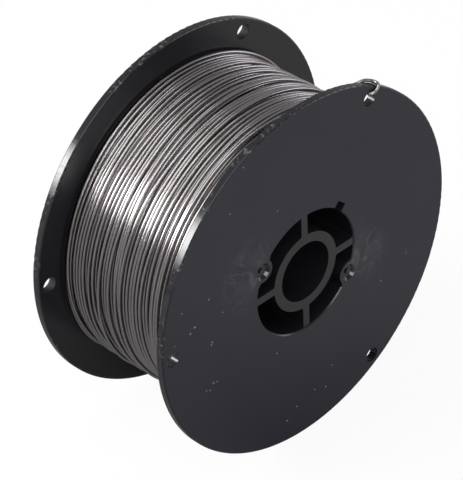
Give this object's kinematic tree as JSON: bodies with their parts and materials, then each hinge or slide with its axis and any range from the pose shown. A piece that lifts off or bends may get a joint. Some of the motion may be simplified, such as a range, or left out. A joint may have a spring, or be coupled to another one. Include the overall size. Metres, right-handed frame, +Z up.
{
  "type": "mig welding wire spool",
  "caption": "Small plastic spool of MIG welding wire: two round flanges, a spoked hub with a through bore, a full barrel of wire and its end hooked through a rim hole.",
  "frame": {"origin": "middle of the bore, halfway across the spool's width", "axes": "+Y along the spool's axis, from the flange that the wire's end is hooked on to the plain flange; +Z up as the spool lies on its two rims"},
  "size_m": [0.099, 0.046, 0.099],
  "materials": {
    "spool_plastic": "satin black injection moulding",
    "wire_steel": "drawn bright wire"
  },
  "bodies": {
    "root": {"spool": "spool_plastic", "wire": "wire_steel"}
  },
  "joints": []
}
